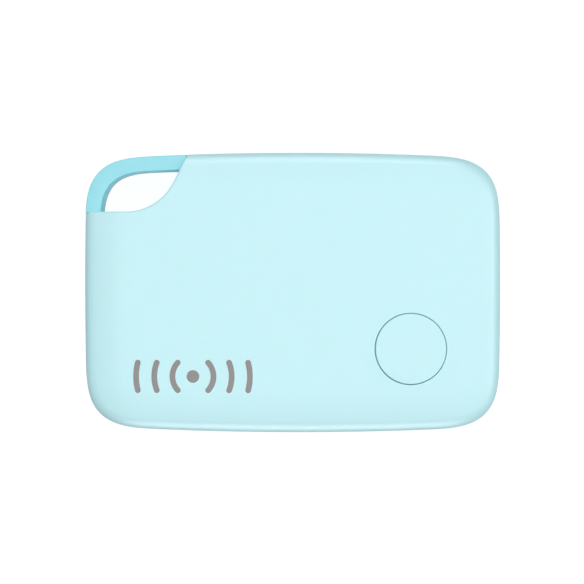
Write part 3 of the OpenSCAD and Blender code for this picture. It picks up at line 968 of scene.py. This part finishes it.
def make_camera():
    """Looks down on the front face, from a little towards the corner opposite the mark."""
    view_width = 74.87 * MM
    aim = Vector((-0.03, 0.08, MID)) * MM
    away = Vector((3.4, 3.4, 185)) * MM
    camera = bpy.data.cameras.new("camera")
    camera.sensor_width = 36
    camera.lens = camera.sensor_width * away.length / view_width
    camera.clip_start = 0.01
    camera.clip_end = 10
    camera.dof.use_dof = False
    holder = bpy.data.objects.new("camera", camera)
    holder.location = aim + away
    holder.rotation_euler = (-math.asin(away.y / away.length), math.atan2(away.x, away.z), 0)
    bpy.context.scene.collection.objects.link(holder)
    bpy.context.scene.camera = holder


def add_softbox(name, elevation, azimuth, span, rise, radiance):
    """A highlight softbox half a metre away, span by rise degrees across. Azimuth 0 is +X and 90 is +Y."""
    distance = 0.5
    e, a = math.radians(elevation), math.radians(azimuth)
    light = bpy.data.lights.new(name, "AREA")
    light.shape = "RECTANGLE"
    light.size = 2 * distance * math.tan(math.radians(span / 2))
    light.size_y = 2 * distance * math.tan(math.radians(rise / 2))
    light.energy = radiance * math.pi * light.size * light.size_y
    holder = bpy.data.objects.new(name, light)
    away = Vector((math.cos(e) * math.cos(a), math.cos(e) * math.sin(a), math.sin(e)))
    holder.location = away * distance
    holder.rotation_euler = away.to_track_quat("Z", "Y").to_euler()
    holder.visible_diffuse = False
    bpy.context.scene.collection.objects.link(holder)
    return holder


def direction_ramp(tree, source, stops):
    """Grey levels over one coordinate of the sky's direction, which runs from -1 to 1."""
    span = tree.nodes.new("ShaderNodeMapRange")
    span.inputs["From Min"].default_value = -1
    span.inputs["From Max"].default_value = 1
    tree.links.new(source, span.inputs["Value"])
    return ramp(tree, span.outputs["Result"], [((place + 1) / 2, grey(level)) for place, level in stops])


def make_tent():
    """A white tent that is brightest overhead and dimmer on the left, and plain white to the camera."""
    world = bpy.data.worlds.new("studio")
    bpy.context.scene.world = world
    world.use_nodes = True
    tree = world.node_tree
    background = tree.nodes["Background"]
    place = tree.nodes.new("ShaderNodeTexCoord")
    split = tree.nodes.new("ShaderNodeSeparateXYZ")
    tree.links.new(place.outputs["Generated"], split.inputs["Vector"])
    height = direction_ramp(tree, split.outputs["Z"], [(-0.6, 0.50), (-0.25, 0.40), (0.0, 0.42), (0.20, 0.86),
                                                       (0.45, 0.98), (1.0, 1.0)])
    sides = direction_ramp(tree, split.outputs["X"], [(-1.0, 0.42), (-0.2, 0.92), (0.2, 1.0), (1.0, 1.02)])
    both = tree.nodes.new("ShaderNodeMix")
    both.data_type = "RGBA"
    both.blend_type = "MULTIPLY"
    both.inputs["Factor"].default_value = 1
    tree.links.new(height.outputs["Color"], both.inputs["A"])
    tree.links.new(sides.outputs["Color"], both.inputs["B"])
    seen = tree.nodes.new("ShaderNodeLightPath")
    shown = mixed(tree, seen.outputs["Is Camera Ray"], both.outputs["Result"], grey(1))
    tree.links.new(shown.outputs["Result"], background.inputs["Color"])
    background.inputs["Strength"].default_value = 1.0


def make_floor():
    """A pale floor that is clear from below."""
    half, drop = 900, 0.02
    made = Builder()
    corners = ((-half, -half), (half, -half), (half, half), (-half, half))
    made.face(*(made.add(x, y, -drop) for x, y in corners))
    floor = made.build("studio_floor")
    material, tree, shader = new_material("floor_white", grey(0.2), 0.8)
    shader.inputs["Emission Color"].default_value = (1, 1, 1, 1)
    shader.inputs["Emission Strength"].default_value = 0.9
    shader.inputs["Specular IOR Level"].default_value = 0.0
    facing = tree.nodes.new("ShaderNodeNewGeometry")
    clear = tree.nodes.new("ShaderNodeBsdfTransparent")
    sided = tree.nodes.new("ShaderNodeMixShader")
    tree.links.new(facing.outputs["Backfacing"], sided.inputs["Fac"])
    tree.links.new(shader.outputs["BSDF"], sided.inputs[1])
    tree.links.new(clear.outputs["BSDF"], sided.inputs[2])
    tree.links.new(sided.outputs["Shader"], tree.nodes["Material Output"].inputs["Surface"])
    set_material(floor, material)
    floor.visible_glossy = False
    floor.visible_diffuse = False
    floor.visible_shadow = False


def make_lights():
    """Softboxes that give the rim its highlights, with a faint one from below for the rear cover."""
    add_softbox("overhead_softbox", 88, 0, 50, 54, 4.6)
    add_softbox("right_softbox", 36, 0, 44, 44, 3.8)
    add_softbox("left_softbox", 22, 180, 50, 34, 1.4)
    add_softbox("top_strip", 26, 90, 34, 44, 5.0)
    add_softbox("bottom_strip", 8, 270, 34, 44, 6.5)
    corner = add_softbox("corner_softbox", 4, 142, 28, 30, 1.8)
    corner.visible_diffuse = True
    under = add_softbox("under_softbox", -90, 0, 60, 60, 0.12)
    under.visible_diffuse = True
    under.data.spread = math.radians(70)


# ---------------------------------------------------------------- making the scene

make_camera()

aqua = aqua_plastic("aqua_plastic")
turquoise = moulded("turquoise_plastic", (0.243, 0.70, 0.79), 0.48, 0.25, mottle=0.012, grain=0.03)[0]
ink = surface("mark_ink", (0.165, 0.152, 0.152), 0.50, mottle=0.04, grain=0.05)[0]
solder = surface("solder_tin", (0.74, 0.75, 0.76), 0.30, 1.0, mottle=0.06, grain=0.3)[0]

front_shell = make_front_cover()
set_material(front_shell, aqua)
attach(front_shell, "housing")
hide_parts("front_cover")

rear_cover = make_rear_cover()
set_material(rear_cover, aqua)
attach(rear_cover, "rear_shell")
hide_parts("rear_cover")

keyring_frame = make_frame()
set_material(keyring_frame, turquoise)
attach(keyring_frame, "housing")
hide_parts("mid_frame")

button_face = make_button()
set_material(button_face, aqua_plastic("button_plastic"))
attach(button_face, "button")
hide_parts("button_cap")

for piece, material, slot in ((make_mark(), ink, "black_polymer"), (make_terminals(), solder, "metal_can"),
                              (make_leads(), solder, "metal_can")):
    set_material(piece, material)
    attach(piece, "housing")

for node, material in inside_materials().items():
    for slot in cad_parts[node].material_slots:
        slot.material = material

bpy.context.scene.view_settings.view_transform = "Standard"
make_tent()
make_floor()
make_lights()
